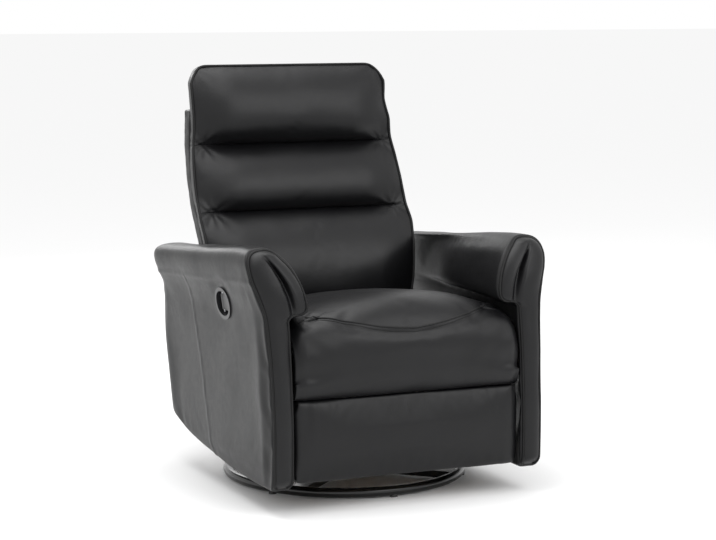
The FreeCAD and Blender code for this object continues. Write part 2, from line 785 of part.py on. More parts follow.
def build_footrest():
    tube_end = layer(0)[1]
    rod_end = layer(3)[1]
    save_pair("side_plate", side_plate())
    save_pair("rear_link", rear_link())
    save("torque_tube", rod_x(TORQUE_TUBE_RADIUS, -tube_end, tube_end, PIVOT_A1))
    save_pair("guide_link", guide_link())
    save_pair("front_link", front_link())
    save("pivot_rod", rod_x(PIVOT_ROD_RADIUS, -rod_end, rod_end, PIVOT_D1))
    save_pair("top_link", top_link())
    save_pair("footrest_bracket", footrest_bracket())
    save("footrest_board", footrest_board())
    save("footrest_pad", footrest_pad())


def build_back():
    post = back_post()
    rails = [back_rail(240, 300), back_rail(840, 915)]
    save_pair("back_post", post)
    save("back_rail_low", rails[0])
    save("back_rail_top", rails[1])
    save("back_shell", back_shell([post, mirrored(post)] + rails))
    save("head_cushion", puff(HEAD_PUFF))
    save("middle_cushion", puff(MIDDLE_PUFF))
    save("lumbar_cushion", puff(LUMBAR_PUFF))
    save_pair("back_bracket", back_bracket())


def main():
    build_base()
    build_rocker()
    build_seat_frame()
    arm = build_arm()
    for name in ("board", "front", "roll"):
        save_pair(f"arm_{name}", arm[name])
    save("arm_side_left", arm["side"])
    save("arm_side_right", mirrored(arm["side"].cut(tilted(handle_envelope()))))
    save("handle_bezel", mirrored(tilted(handle_bezel())))
    save("handle_pin", mirrored(tilted(paddle_pin(PADDLE_PIN_RADIUS, PADDLE_PIN_LENGTH))))
    save("handle_paddle", mirrored(tilted(handle_paddle())))
    cushion, border = build_seat()
    save("seat_cushion", cushion)
    save("seat_front_border", border)
    build_footrest()
    build_back()


main()
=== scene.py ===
"""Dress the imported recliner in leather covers, seams and piping, and set its light and camera."""
import json
import math
from collections import namedtuple

import bmesh
import bpy
import numpy as np
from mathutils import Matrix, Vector, noise


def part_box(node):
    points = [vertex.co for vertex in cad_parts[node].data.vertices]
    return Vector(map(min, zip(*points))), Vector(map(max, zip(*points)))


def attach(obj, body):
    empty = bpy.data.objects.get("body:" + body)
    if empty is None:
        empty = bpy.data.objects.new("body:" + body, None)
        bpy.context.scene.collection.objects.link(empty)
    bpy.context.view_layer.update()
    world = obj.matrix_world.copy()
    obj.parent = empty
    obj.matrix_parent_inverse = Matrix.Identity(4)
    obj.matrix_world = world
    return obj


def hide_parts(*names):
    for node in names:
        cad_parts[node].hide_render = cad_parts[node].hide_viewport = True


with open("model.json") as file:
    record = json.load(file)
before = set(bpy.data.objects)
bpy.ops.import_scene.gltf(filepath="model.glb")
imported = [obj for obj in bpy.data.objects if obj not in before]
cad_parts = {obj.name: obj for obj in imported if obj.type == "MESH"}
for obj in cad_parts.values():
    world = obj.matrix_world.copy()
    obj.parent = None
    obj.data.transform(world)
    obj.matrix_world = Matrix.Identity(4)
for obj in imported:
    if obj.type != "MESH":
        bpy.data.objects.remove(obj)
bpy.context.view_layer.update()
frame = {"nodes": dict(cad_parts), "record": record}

# Depths are measured from the swivel axis, heights from the floor. All sizes are in metres.
RING_LOW, RING_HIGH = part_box("base_ring")
AXIS_Y = (RING_LOW[1] + RING_HIGH[1]) / 2

# Arms
ARM_INNER_X = 0.305
ARM_OUTER_X = 0.362
ARM_FLARE_X = 0.401
ARM_RECESS = 0.012
ARM_ROLL_Z = 0.470
ARM_TOP_Z = 0.641
SIDE_BULGE = 0.009

# Seat and its welt
SEAT_HALF = 0.300
SEAT_SIDE_Z = 0.468
SEAT_CROWN = 0.046
SEAT_NOSE_Y = -0.420
SEAT_BACK_Y = 0.144
PANEL_SEAM_Z = 0.277
WELT_HALF = 0.245
WELT_MIDDLE_Z = 0.430
WELT_END_Z = 0.474

# Footrest
FOOT_HALF = 0.300
FOOT_LOW_Z = 0.076
FOOT_TOP_Z = 0.2755
FOOT_FRONT_Y = -0.386
FOOT_BACK_Y = -0.358

# Back
BOXING = 0.040
CHANNEL = 0.024
OVERLAP = 0.003
BACK_TOP_Z = 1.047
HEAD_SEAM_Z = 0.840
LUMBAR_SEAM_Z = 0.667
LUMBAR_BOTTOM_Z = 0.390
SHELL_TOP_Z = 0.930
SHELL_BOTTOM_Z = 0.212
SHELL_DEPTH = 0.040

# Trim and folds
PIPE_RADIUS = 0.0034
WELT_RADIUS = 0.0022
STITCH_RADIUS = 0.0009
STITCH_DROP = 0.011
BORDER_FOLD_DEPTH = 0.0004
PINCH_DEPTH = 0.0024
GATHER_DEPTH = 0.0034

# Release handle
HANDLE_Y = -0.120
HANDLE_Z = 0.484
HANDLE_HALF_LENGTH = 0.050
HANDLE_HALF_HEIGHT = 0.040
HANDLE_RIM_X = 0.3812
HANDLE_LEAN = 0.133

# Camera of the photograph
CAMERA_X = -2.188
CAMERA_DEPTH = -5.001
CAMERA_HEIGHT = 1.240
CAMERA_PITCH = 7.39
CAMERA_TURN = 24.0
CAMERA_LENS = 107.1
CAMERA_SENSOR = 36.0
CAMERA_REACH = 200.0

# Edge of the back's front panel from the side, as (height, depth)
BACK_EDGE = [
    (0.390, 0.170), (0.480, 0.190), (0.560, 0.207), (0.600, 0.222), (0.640, 0.248),
    (0.667, 0.263), (0.700, 0.285), (0.750, 0.306), (0.800, 0.327), (0.840, 0.341),
    (0.880, 0.348), (0.930, 0.360), (0.985, 0.371), (1.015, 0.380), (1.035, 0.391),
    (1.047, 0.402),
]

# Half width of the back's front panel, as (height, half width)
BACK_HALF = [
    (0.390, 0.264), (0.480, 0.287), (0.560, 0.296), (0.600, 0.299), (0.655, 0.301),
    (0.700, 0.300), (0.741, 0.299), (0.800, 0.294), (0.840, 0.289), (0.880, 0.284),
    (0.917, 0.281), (1.047, 0.281),
]

# How far the piping at the sitter's left wanders from that half width, as (height, offset)
BACK_WANDER = [
    (0.600, 0.001), (0.628, 0.005), (0.668, -0.002), (0.700, 0.001), (0.809, 0.001),
    (0.854, -0.001), (0.902, 0.006), (0.954, -0.004), (0.992, 0.001), (1.020, 0.002),
]

# Line from the side where the padded front of the back meets its frame, as (height, depth)
BACK_SPLIT = [
    (0.205, 0.205), (0.300, 0.208), (0.390, 0.217), (0.480, 0.235), (0.580, 0.256),
    (0.667, 0.308), (0.750, 0.350), (0.840, 0.386), (0.920, 0.403), (0.985, 0.418),
    (1.060, 0.440),
]

# Half width of the outer back, as (height, half width)
SHELL_HALF = [
    (0.205, 0.254), (0.390, 0.262), (0.480, 0.286), (0.560, 0.292), (0.667, 0.295),
    (0.750, 0.292), (0.840, 0.285), (0.930, 0.276),
]

# Rear of the seat's cover, as (depth, fall below the crown's height)
SEAT_REAR = [
    (SEAT_BACK_Y, 0.090), (SEAT_BACK_Y - 0.02, 0.064), (SEAT_BACK_Y - 0.08, 0.052),
    (-0.10, 0.025),
]

# Front of the seat's crown, as (depth, fall), and its nose, as (depth behind the nose, fall)
SEAT_CREST = (-0.27, 0.007)
SEAT_NOSE = [(0.065, 0.016), (0.024, 0.040), (0.004, 0.078), (0.0, 0.105), (0.004, 0.140)]

# Low end of the seat's border, as (depth, how much further back at the sides, height)
SEAT_BORDER = [
    (-0.411, 0.010, 0.318), (-0.401, 0.010, PANEL_SEAM_Z + 0.010), (-0.386, 0.006, PANEL_SEAM_Z),
]

# Front edge of the arm from the side, as (height, depth)
ARM_FRONT = [
    (0.060, -0.382), (0.072, -0.396), (0.090, -0.402), (0.160, -0.403), (0.229, -0.402),
    (0.279, -0.398), (0.359, -0.392), (0.419, -0.384), (0.468, -0.377), (0.497, -0.371),
    (0.528, -0.363), (0.561, -0.353), (0.587, -0.345), (0.604, -0.338), (0.623, -0.326),
    (0.641, -0.312),
]

# Rear edge of the arm from the side, as (height, depth)
ARM_REAR = [
    (0.100, 0.300), (0.136, 0.319), (0.198, 0.334), (0.319, 0.363), (0.450, 0.364),
    (0.641, 0.352),
]

# Bottom edge, top and share of the lobe along an arm, as (depth, value)
ARM_BOTTOM = [
    (-0.400, 0.063), (-0.219, 0.062), (-0.065, 0.066), (0.023, 0.073), (0.120, 0.083),
    (0.237, 0.106), (0.320, 0.134),
]
ARM_TOP = [
    (-0.330, 0.641), (-0.210, 0.630), (-0.090, 0.619), (0.080, 0.605), (0.250, 0.591),
    (0.364, 0.581),
]
ARM_LOBE = [
    (-0.330, 1.0), (-0.210, 0.97), (-0.090, 0.80), (0.000, 0.52), (0.080, 0.20), (0.140, 0.03),
]

# Section of an arm's outside: its foot as (past the outer side, above the bottom edge), its post
# as (past the outer side, height) and its roll as (distance from the middle, height)
ARM_OUTER_FOOT = [(-0.010, 0.0), (-0.001, 0.009), (0.0, 0.05)]
ARM_OUTER_POST = [(0.001, 0.28), (0.004, 0.38)]
ARM_OUTER_ROLL = [
    (0.372, 0.475), (0.385, 0.530), (0.396, 0.566), (ARM_FLARE_X, 0.594), (0.400, 0.614),
    (0.392, 0.629), (0.376, 0.638),
]
ARM_CREST_X = 0.350

# Section of an arm's inside, from its crest over the lobe and down to its foot
ARM_INNER_LOBE = [
    (0.330, 0.636), (0.310, 0.623), (0.288, 0.600), (0.271, 0.570), (0.260, 0.540),
    (0.254, 0.510), (0.255, 0.494), (0.264, 0.485), (0.290, 0.482),
]
ARM_TUCK_Z = 0.430
ARM_INNER_FOOT = [(0.0, 0.05), (0.001, 0.009), (0.010, 0.0)]

# The fold on the front of each arm, as (height, distance from the middle)
ARM_FOLD = [
    (0.470, 0.294), (0.485, 0.296), (0.524, 0.304), (0.562, 0.318), (0.601, 0.341),
    (0.632, 0.365),
]

# How each cover is filled as cloth
Filling = namedtuple("Filling", "pressure growth cap frames")
PUFF_FILLING = Filling(3.0, 0.001, 0.010, 20)
SHELL_FILLING = Filling(1.0, 0.004, 0.006, 12)
SEAT_FILLING = Filling(2.0, 0.001, 0.006, 20)
FOOT_FILLING = Filling(2.0, 0.002, 0.006, 20)
ARM_FILLING = Filling(0.6, 0.003, 0.005, 12)
FACE_FILLING = Filling(1.0, 0.012, 0.004, 12)

# Unevenness of each cover, as waves of (size, depth)
PUFF_SLACK = [(0.11, 0.0026), (0.035, 0.0004)]
SEAT_SLACK = [(0.09, 0.0024)]
FOOT_SLACK = [(0.10, 0.0024)]
ARM_SLACK = [(0.14, 0.0020), (0.05, 0.0004)]
FACE_SLACK = [(0.05, 0.0012)]

# Sewn lines that draw the leather in, as (depth, half width)
WELT_GROOVE = (0.0040, 0.007)
STITCH_GROOVE = (0.0016, 0.0035)
ROLL_GROOVE = (0.0024, 0.005)
SIDE_GROOVE = (0.0020, 0.0045)

# Finish of the leather: specular level, scales and (strength, depth) of its bumps
LEATHER_SPECULAR = 0.3
GRAIN_SCALE = 900.0
CREASE_SCALE = 60.0
SHADE_SCALE = 7.0
GRAIN_BUMP = (0.35, 0.0004)
CREASE_BUMP = (0.25, 0.0012)

# How far the roughness of leather and of plain surfaces wanders down and up
LEATHER_SHEEN = (-0.05, 0.07)
PLAIN_SHEEN = (-0.04, 0.06)
PLAIN_BUMP = 0.3


# Small helpers
def read(table, key):
    """A value between the rows of a short table."""
    keys = [row[0] for row in table]
    values = [row[1] for row in table]
    return float(np.interp(key, keys, values))


def soft_read(table, key, reach=0.022):
    """The same, with the table's corners rounded over a reach to each side."""
    steps = 3
    total = 0.0
    for i in range(-steps, steps + 1):
        total += read(table, key + reach * i / steps) * (steps + 1 - abs(i))
    return total / (steps + 1) ** 2


def fade(a, b, value):
    """A smooth step from 0 at a to 1 at b."""
    t = min(max((value - a) / (b - a), 0.0), 1.0)
    return t * t * (3 - 2 * t)


def bell(gap, width):
    """1 in the middle of a line, and less with the distance from it."""
    return math.exp(-((gap / width) ** 2))


def groove(shape, gap):
    """How deep a sewn line is at a distance from its middle."""
    depth, width = shape
    return depth * bell(gap, width)


def quarter(share):
    """The rise of a quarter of a sine wave, and 1 after it."""
    return math.sin(min(share, 1.0) * math.pi / 2)


def place(x, y, z):
    """A point given from the swivel axis, in the shared frame."""
    return (x, y + AXIS_Y, z)


def even(points, count):
    """Points at even steps along a run of straight pieces."""
    points = np.array(points, dtype=float)
    gaps = np.linalg.norm(np.diff(points, axis=0), axis=1)
    reach = np.concatenate([[0], np.cumsum(gaps)])
    wanted = np.linspace(0, reach[-1], count)
    columns = [np.interp(wanted, reach, points[:, k]) for k in range(points.shape[1])]
    return np.stack(columns, axis=1)


def smooth_run(points, count):
    """Points at even steps along one smooth curve (Catmull-Rom) through the given points."""
    steps = 8
    points = np.array(points, dtype=float)
    first = 2 * points[0] - points[1]
    last = 2 * points[-1] - points[-2]
    padded = np.vstack([first, points, last])
    dense = []
    for i in range(1, len(padded) - 2):
        p0, p1, p2, p3 = padded[i - 1:i + 3]
        for t in np.linspace(0, 1, steps + 1)[:-1]:
            dense.append(0.5 * (
                2 * p1 + (p2 - p0) * t + (2 * p0 - 5 * p1 + 4 * p2 - p3) * t ** 2
                + (3 * p1 - p0 - 3 * p2 + p3) * t ** 3
            ))
    dense.append(points[-1])
    return even(dense, count)


def slack(x, y, z, waves):
    """Gentle unevenness of a filled cover."""
    return sum(depth * noise.noise(Vector((x, y, z)) / size) for size, depth in waves)


def ripple(x, z, across_it, up_it, seed):
    """Uneven folds in a front, by how many there are across it and up it."""
    return noise.noise(Vector((x * across_it, seed, z * up_it)))


# Meshes
def add_mesh(name, verts, faces):
    mesh = bpy.data.meshes.new(name)
    mesh.from_pydata([tuple(v) for v in verts], [], faces)
    mesh.update()
    mesh.shade_smooth()
    obj = bpy.data.objects.new(name, mesh)
    bpy.context.scene.collection.objects.link(obj)
    return obj


def coordinates(mesh):
    flat = np.empty(len(mesh.vertices) * 3)
    mesh.vertices.foreach_get("co", flat)
    return flat.reshape(-1, 3)


def set_coordinates(mesh, points):
    mesh.vertices.foreach_set("co", points.ravel())
    mesh.update()


def normals(mesh):
    flat = np.empty(len(mesh.vertices) * 3)
    mesh.vertex_normals.foreach_get("vector", flat)
    return flat.reshape(-1, 3)


def two_grids(rows, columns):
    """Room for the points of a form's front and rear."""
    return np.zeros((rows, columns, 3)), np.zeros((rows, columns, 3))


def quads(first, rows, columns, flip=False):
    """Faces of a grid of points that starts at one index."""
    faces = []
    for r in range(rows - 1):
        for c in range(columns - 1):
            a = first + r * columns + c
            face = (a, a + 1, a + columns + 1, a + columns)
            faces.append(face[::-1] if flip else face)
    return faces


def pillow(name, front, back, layers):
    """A closed form between two grids of equal shape, with side walls of some layers.

    It is returned with the indices that a filling can't move: the front's seam and the whole back.
    """
    rows, columns = front.shape[:2]
    count = rows * columns
    verts = list(front.reshape(-1, 3)) + list(back.reshape(-1, 3))
    faces = quads(0, rows, columns) + quads(count, rows, columns, flip=True)
    loop = [(0, c) for c in range(columns)]
    loop += [(r, columns - 1) for r in range(1, rows)]
    loop += [(rows - 1, c) for c in range(columns - 2, -1, -1)]
    loop += [(r, 0) for r in range(rows - 2, 0, -1)]
    seam = [r * columns + c for r, c in loop]
    previous = seam
    for k in range(1, layers + 2):
        if k == layers + 1:
            current = [count + i for i in seam]
        else:
            share = k / (layers + 1)
            current = []
            for r, c in loop:
                current.append(len(verts))
                verts.append(front[r, c] * (1 - share) + back[r, c] * share)
        for i in range(len(loop)):
            j = (i + 1) % len(loop)
            faces.append((previous[j], previous[i], current[i], current[j]))
        previous = current
    return add_mesh(name, verts, faces), seam + list(range(count, 2 * count))


def inflate(obj, pinned, filling):
    """Fill a closed form as cloth over foam. No point moves further than the filling's cap."""
    group = obj.vertex_groups.new(name="sewn")
    group.add(pinned, 1.0, "REPLACE")
    start = coordinates(obj.data)
    cloth = obj.modifiers.new("Filling", "CLOTH")
    settings = cloth.settings
    settings.quality = 4
    settings.mass = 0.4
    settings.tension_stiffness = 20
    settings.compression_stiffness = 20
    settings.shear_stiffness = 8
    settings.bending_stiffness = 1.2
    settings.air_damping = 4
    settings.vertex_group_mass = "sewn"
    settings.use_pressure = True
    settings.uniform_pressure_force = filling.pressure
    settings.shrink_min = -filling.growth
    settings.effector_weights.gravity = 0
    cloth.collision_settings.use_collision = False
    cloth.point_cache.frame_end = filling.frames
    scene = bpy.context.scene
    for number in range(1, filling.frames + 1):
        scene.frame_set(number)
    graph = bpy.context.evaluated_depsgraph_get()
    shaped = coordinates(obj.evaluated_get(graph).to_mesh())
    move = shaped - start
    length = np.linalg.norm(move, axis=1, keepdims=True)
    move *= np.minimum(1.0, filling.cap / np.maximum(length, 1e-9))
    obj.modifiers.remove(cloth)
    scene.frame_set(1)
    set_coordinates(obj.data, start + move)
    obj.vertex_groups.remove(group)


def soften(obj, held, rounds):
    """Bring each point half way to the mean of its neighbours, away from the seams."""
    mesh = obj.data
    edges = np.empty(len(mesh.edges) * 2, dtype=np.int64)
    mesh.edges.foreach_get("vertices", edges)
    edges = edges.reshape(-1, 2)
    points = coordinates(mesh)
    free = np.ones(len(points), dtype=bool)
    free[held] = False
    for _ in range(rounds):
        total = np.zeros_like(points)
        number = np.zeros(len(points))
        for a, b in ((0, 1), (1, 0)):
            np.add.at(total, edges[:, a], points[edges[:, b]])
            np.add.at(number, edges[:, a], 1)
        mean = total / number[:, None]
        points[free] += 0.5 * (mean[free] - points[free])
    set_coordinates(mesh, points)


def push(obj, depth_at, held):
    """Move each free point along its normal by a depth worked out from where it is."""
    mesh = obj.data
    points, along = coordinates(mesh), normals(mesh)
    depths = np.array([depth_at(*point) for point in points])
    depths[held] = 0.0
    set_coordinates(mesh, points + along * depths[:, None])


def cushion(obj, body, nodes):
    """Finish a padded piece: its subdivision, leather, the solids that it stands for, its body."""
    modifier = obj.modifiers.new("Subdivision", "SUBSURF")
    modifier.levels = 1
    modifier.render_levels = 1
    obj.data.materials.append(LEATHER)
    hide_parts(*nodes)
    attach(obj, body)


def piping(name, points, body, radius=PIPE_RADIUS):
    """A thin leather-covered cord sewn into a seam, its leather painted darker than the covers as
    the seam's shade.
    """
    curve = bpy.data.curves.new(name, "CURVE")
    curve.dimensions = "3D"
    curve.bevel_depth = radius
    curve.bevel_resolution = 3
    curve.use_fill_caps = True
    spline = curve.splines.new("POLY")
    spline.points.add(len(points) - 1)
    for target, point in zip(spline.points, points):
        target.co = (*point, 1.0)
    obj = bpy.data.objects.new(name, curve)
    bpy.context.scene.collection.objects.link(obj)
    curve.materials.append(PIPING_WITH_PAINTED_SHADE)
    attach(obj, body)


# Materials
def shader(name, colour, roughness, metallic=0.0):
    material = bpy.data.materials.new(name)
    material.use_nodes = True
    tree = material.node_tree
    principled = tree.nodes["Principled BSDF"]
    principled.inputs["Base Color"].default_value = (*colour, 1)
    principled.inputs["Roughness"].default_value = roughness
    principled.inputs["Metallic"].default_value = metallic
    return material, tree, principled


def texture(tree, kind, scale, **inputs):
    node = tree.nodes.new(kind)
    node.inputs["Scale"].default_value = scale
    for key, value in inputs.items():
        node.inputs[key].default_value = value
    coordinate = tree.nodes.new("ShaderNodeTexCoord")
    tree.links.new(coordinate.outputs["Object"], node.inputs["Vector"])
    return node


def vary(tree, source, low, high, target):
    """Spread a texture's value over a range and put it into an input."""
    spread = tree.nodes.new("ShaderNodeMapRange")
    spread.inputs["To Min"].default_value = low
    spread.inputs["To Max"].default_value = high
    tree.links.new(source, spread.inputs["Value"])
    tree.links.new(spread.outputs["Result"], target)


def tint(tree, source, dark, light, target):
    """Colour that wanders between two shades."""
    mix = tree.nodes.new("ShaderNodeMix")
    mix.data_type = "RGBA"
    mix.inputs["A"].default_value = (*dark, 1)
    mix.inputs["B"].default_value = (*light, 1)
    tree.links.new(source, mix.inputs["Factor"])
    tree.links.new(mix.outputs["Result"], target)


def relief(tree, principled, sources):
    """Bumps of several sizes, each as (value, strength, depth in metres)."""
    previous = None
    for source, strength, distance in sources:
        bump = tree.nodes.new("ShaderNodeBump")
        bump.inputs["Strength"].default_value = strength
        bump.inputs["Distance"].default_value = distance
        tree.links.new(source, bump.inputs["Height"])
        if previous is not None:
            tree.links.new(previous.outputs["Normal"], bump.inputs["Normal"])
        previous = bump
    tree.links.new(previous.outputs["Normal"], principled.inputs["Normal"])


def leather(name, dark, light, roughness):
    """Coated leather: pebbled grain, soft creases, slight wear in the sheen."""
    material, tree, principled = shader(name, light, roughness)
    principled.inputs["Specular IOR Level"].default_value = LEATHER_SPECULAR
    grain = texture(tree, "ShaderNodeTexVoronoi", GRAIN_SCALE)
    creases = texture(tree, "ShaderNodeTexNoise", CREASE_SCALE, Detail=3.0, Roughness=0.6)
    drift = texture(tree, "ShaderNodeTexNoise", SHADE_SCALE, Detail=2.0)
    low, high = LEATHER_SHEEN
    sheen = principled.inputs["Roughness"]
    tint(tree, drift.outputs["Fac"], dark, light, principled.inputs["Base Color"])
    vary(tree, creases.outputs["Fac"], roughness + low, roughness + high, sheen)
    relief(tree, principled, [
        (creases.outputs["Fac"], *CREASE_BUMP),
        (grain.outputs["Distance"], *GRAIN_BUMP),
    ])
    return material


def plain(name, dark, light, roughness, metallic=0.0, grain=400.0, depth=0.0002, stretch=None):
    """A moulded, painted, plated or sawn surface with fine variation."""
    material, tree, principled = shader(name, light, roughness, metallic)
    fine = texture(tree, "ShaderNodeTexNoise", grain, Detail=4.0)
    if stretch:
        scale = tree.nodes.new("ShaderNodeVectorMath")
        scale.operation = "MULTIPLY"
        scale.inputs[1].default_value = stretch
        coordinate = fine.inputs["Vector"].links[0].from_socket
        tree.links.new(coordinate, scale.inputs[0])
        tree.links.new(scale.outputs["Vector"], fine.inputs["Vector"])
    low, high = PLAIN_SHEEN
    sheen = principled.inputs["Roughness"]
    tint(tree, fine.outputs["Fac"], dark, light, principled.inputs["Base Color"])
    vary(tree, fine.outputs["Fac"], roughness + low, roughness + high, sheen)
    relief(tree, principled, [(fine.outputs["Fac"], PLAIN_BUMP, depth)])
    return material


def woven(name, dark, light):
    """Elastic webbing: warp and weft as crossed waves."""
    material, tree, principled = shader(name, light, roughness=0.85)
    warp = texture(tree, "ShaderNodeTexWave", 220.0, Distortion=0.6)
    warp.bands_direction = "X"
    weft = texture(tree, "ShaderNodeTexWave", 160.0, Distortion=0.4)
    weft.bands_direction = "Y"
    both = tree.nodes.new("ShaderNodeMath")
    both.operation = "MAXIMUM"
    tree.links.new(warp.outputs["Fac"], both.inputs[0])
    tree.links.new(weft.outputs["Fac"], both.inputs[1])
    tint(tree, both.outputs["Value"], dark, light, principled.inputs["Base Color"])
    relief(tree, principled, [(both.outputs["Value"], 0.5, 0.0006)])
    return material


LEATHER = leather("leather", (0.0028, 0.0028, 0.0033), (0.0050, 0.0050, 0.0057), 0.38)
# Piping: the covers' black leather, painted darker than them as painted shade along the seams
PIPING_WITH_PAINTED_SHADE = leather("piping_painted_shade", (0.001, 0.001, 0.0011), (0.002, 0.002, 0.0022), 0.55)
MATERIALS = {
    "leather": LEATHER,
    "plywood": plain(
        "plywood", (0.42, 0.29, 0.17), (0.64, 0.48, 0.31), 0.65, grain=60, stretch=(0.15, 1, 1)
    ),
    "hardwood": plain(
        "hardwood", (0.34, 0.22, 0.12), (0.55, 0.38, 0.22), 0.6, grain=80, stretch=(0.1, 1, 1)
    ),
    "black_steel": plain(
        "black_steel", (0.003, 0.003, 0.003), (0.006, 0.006, 0.006), 0.22, grain=200, depth=0.0001
    ),
    "glide_plastic": plain("glide_plastic", (0.02, 0.02, 0.02), (0.04, 0.04, 0.04), 0.6),
    "nylon": plain("nylon", (0.72, 0.72, 0.68), (0.8, 0.8, 0.76), 0.5),
    "rubber": plain("rubber", (0.02, 0.02, 0.02), (0.04, 0.04, 0.04), 0.8, depth=0.0004),
    "webbing": woven("webbing", (0.30, 0.27, 0.22), (0.55, 0.5, 0.42)),
    "handle_plastic": plain(
        "handle_plastic", (0.010, 0.010, 0.011), (0.018, 0.018, 0.02), 0.30,
        grain=1500, depth=0.0001,
    ),
    "paddle_plastic": plain(
        "paddle_plastic", (0.06, 0.06, 0.062), (0.09, 0.09, 0.093), 0.38,
        grain=1500, depth=0.0001,
    ),
    "pressed_steel": plain(
        "pressed_steel", (0.03, 0.03, 0.03), (0.05, 0.05, 0.05), 0.38, grain=150
    ),
    "zinc_steel": plain(
        "zinc_steel", (0.45, 0.46, 0.48), (0.62, 0.63, 0.65), 0.34,
        metallic=1.0, grain=90, stretch=(1, 1, 8),
    ),
}


def dress_frame():
    """Give each carried-over solid the material of its slot, and the paddle its own."""
    for part in frame["record"]["subparts"]:
        slot = "paddle_plastic" if part["node"] == "handle_paddle" else part["material_slot"]
        mesh = frame["nodes"][part["node"]].data
        mesh.materials.clear()
        mesh.materials.append(MATERIALS[slot])


# Back: how far in from the side a puff is full, how round it is, and its corners at the top
PUFF_RIM = 0.12
PUFF_SIDE_ROUNDNESS = 0.9
PUFF_ROUNDNESS = 0.78
PUFF_ROW_HEIGHT = 0.007
PUFF_ARC = 1.3
PUFF_COLUMNS = 90
PUFF_LAYERS = 5
REAR_SHARE = 0.985
WIDTH_REACH = 0.012
EDGE_REACH = 0.016
TOP_LIFT = 0.001
TOP_CORNER = 0.20
TOP_CORNER_DROP = 0.046
TOP_CORNER_ROUNDNESS = 2.9

# Pinched folds at the ends of the seams: their centre, reach, stretch, number and first turn
PINCH_X = 0.262
PINCH_REACH = 0.045
PINCH_UPRIGHT = 1.3
PINCH_COUNT = 9
PINCH_TURN_BY_SEAM = 30
PINCH_TURN_BY_SIDE = 2

# Line of the back's piping
PIPING_LOW_Z = 0.42
PIPING_OUT = 0.001
PIPING_SIDE_STEPS = 110
PIPING_TOP_STEPS = 90

# Outer back: its points, its bowed rear, and how far its front is tucked in
SHELL_ROWS = 96
SHELL_COLUMNS = 60
SHELL_LAYERS = 5
SHELL_BOW = 0.016
SHELL_TUCK = 0.004


def across(half, x):
    """How full a puff is at one place across it: flat at the side seam, full in the middle."""
    inside = max(half - abs(x), 0.0)
    return quarter(inside / PUFF_RIM) ** PUFF_SIDE_ROUNDNESS


def back_half(z, t):
    """Half width of the back at a height, on the side that t points to."""
    half = soft_read(BACK_HALF, z, WIDTH_REACH)
    return half + (soft_read(BACK_WANDER, z, WIDTH_REACH) if t > 0 else 0.0)


def back_top(t):
    """Height of the top seam at a share of the half width, with its round corners."""
    corner = max(0.0, (abs(t) - (1 - TOP_CORNER)) / TOP_CORNER)
    return BACK_TOP_Z + TOP_LIFT - TOP_CORNER_DROP * corner ** TOP_CORNER_ROUNDNESS


def puff_point(low, high, t, v):
    """Half width, depth of the seam line and height at one place on a puff's face."""
    top = back_top(t) if high == BACK_TOP_Z else high
    z = low + (top - low) * v
    return back_half(z, t), soft_read(BACK_EDGE, z, EDGE_REACH), z


def puff_grids(low, high, crown, sag, rows, columns):
    """Front and rear of a puff between two seams. The front hangs over the lower one by its sag.

    A seam that it shares with another puff is drawn in, and one on the outer edge isn't.
    """
    low_channel = CHANNEL if low > LUMBAR_BOTTOM_Z else 0.0
    high_channel = CHANNEL if high < BACK_TOP_Z else 0.0
    front, rear = two_grids(rows, columns)
    for r in range(rows):
        v = r / (rows - 1)
        round_out = math.sin(math.pi * v) ** PUFF_ROUNDNESS
        drop = sag * math.sin(math.pi * v) * (1 - v) * (high - low)
        channel = low_channel * (1 - v) + high_channel * v
        for c in range(columns):
            t = -1 + 2 * c / (columns - 1)
            half, depth, z = puff_point(low, high, t, v)
            full = across(half, half * t)
            swell = full * (crown * round_out - channel * (1 - round_out))
            front[r, c] = place(half * t, depth - swell, z - drop * full)
            rear[r, c] = place(half * t * REAR_SHARE, depth + BOXING, z)
    return front, rear


def puff_relief(x, y, z, seams):
    """Unevenness of a puff, with pinched folds that fan out from the ends of its seams."""
    depth = slack(x, y, z, PUFF_SLACK)
    for seam_z in seams:
        reach = math.hypot(abs(x) - PINCH_X, (z - seam_z) * PINCH_UPRIGHT)
        turn = math.atan2(z - seam_z, abs(x) - PINCH_X)
        start = PINCH_TURN_BY_SEAM * seam_z + (PINCH_TURN_BY_SIDE if x > 0 else 0)
        depth += PINCH_DEPTH * bell(reach, PINCH_REACH) * math.sin(turn * PINCH_COUNT + start)
    return depth


def make_puff(name, node, low, high, crown, sag):
    rows = int((high - low) * PUFF_ARC / PUFF_ROW_HEIGHT)
    front, rear = puff_grids(low, high, crown, sag, rows, PUFF_COLUMNS)
    obj, held = pillow(name, front, rear, PUFF_LAYERS)
    inflate(obj, held, PUFF_FILLING)
    soften(obj, held, 2)
    push(obj, lambda x, y, z: puff_relief(x, y, z, (low, high)), held)
    cushion(obj, "back", [node])


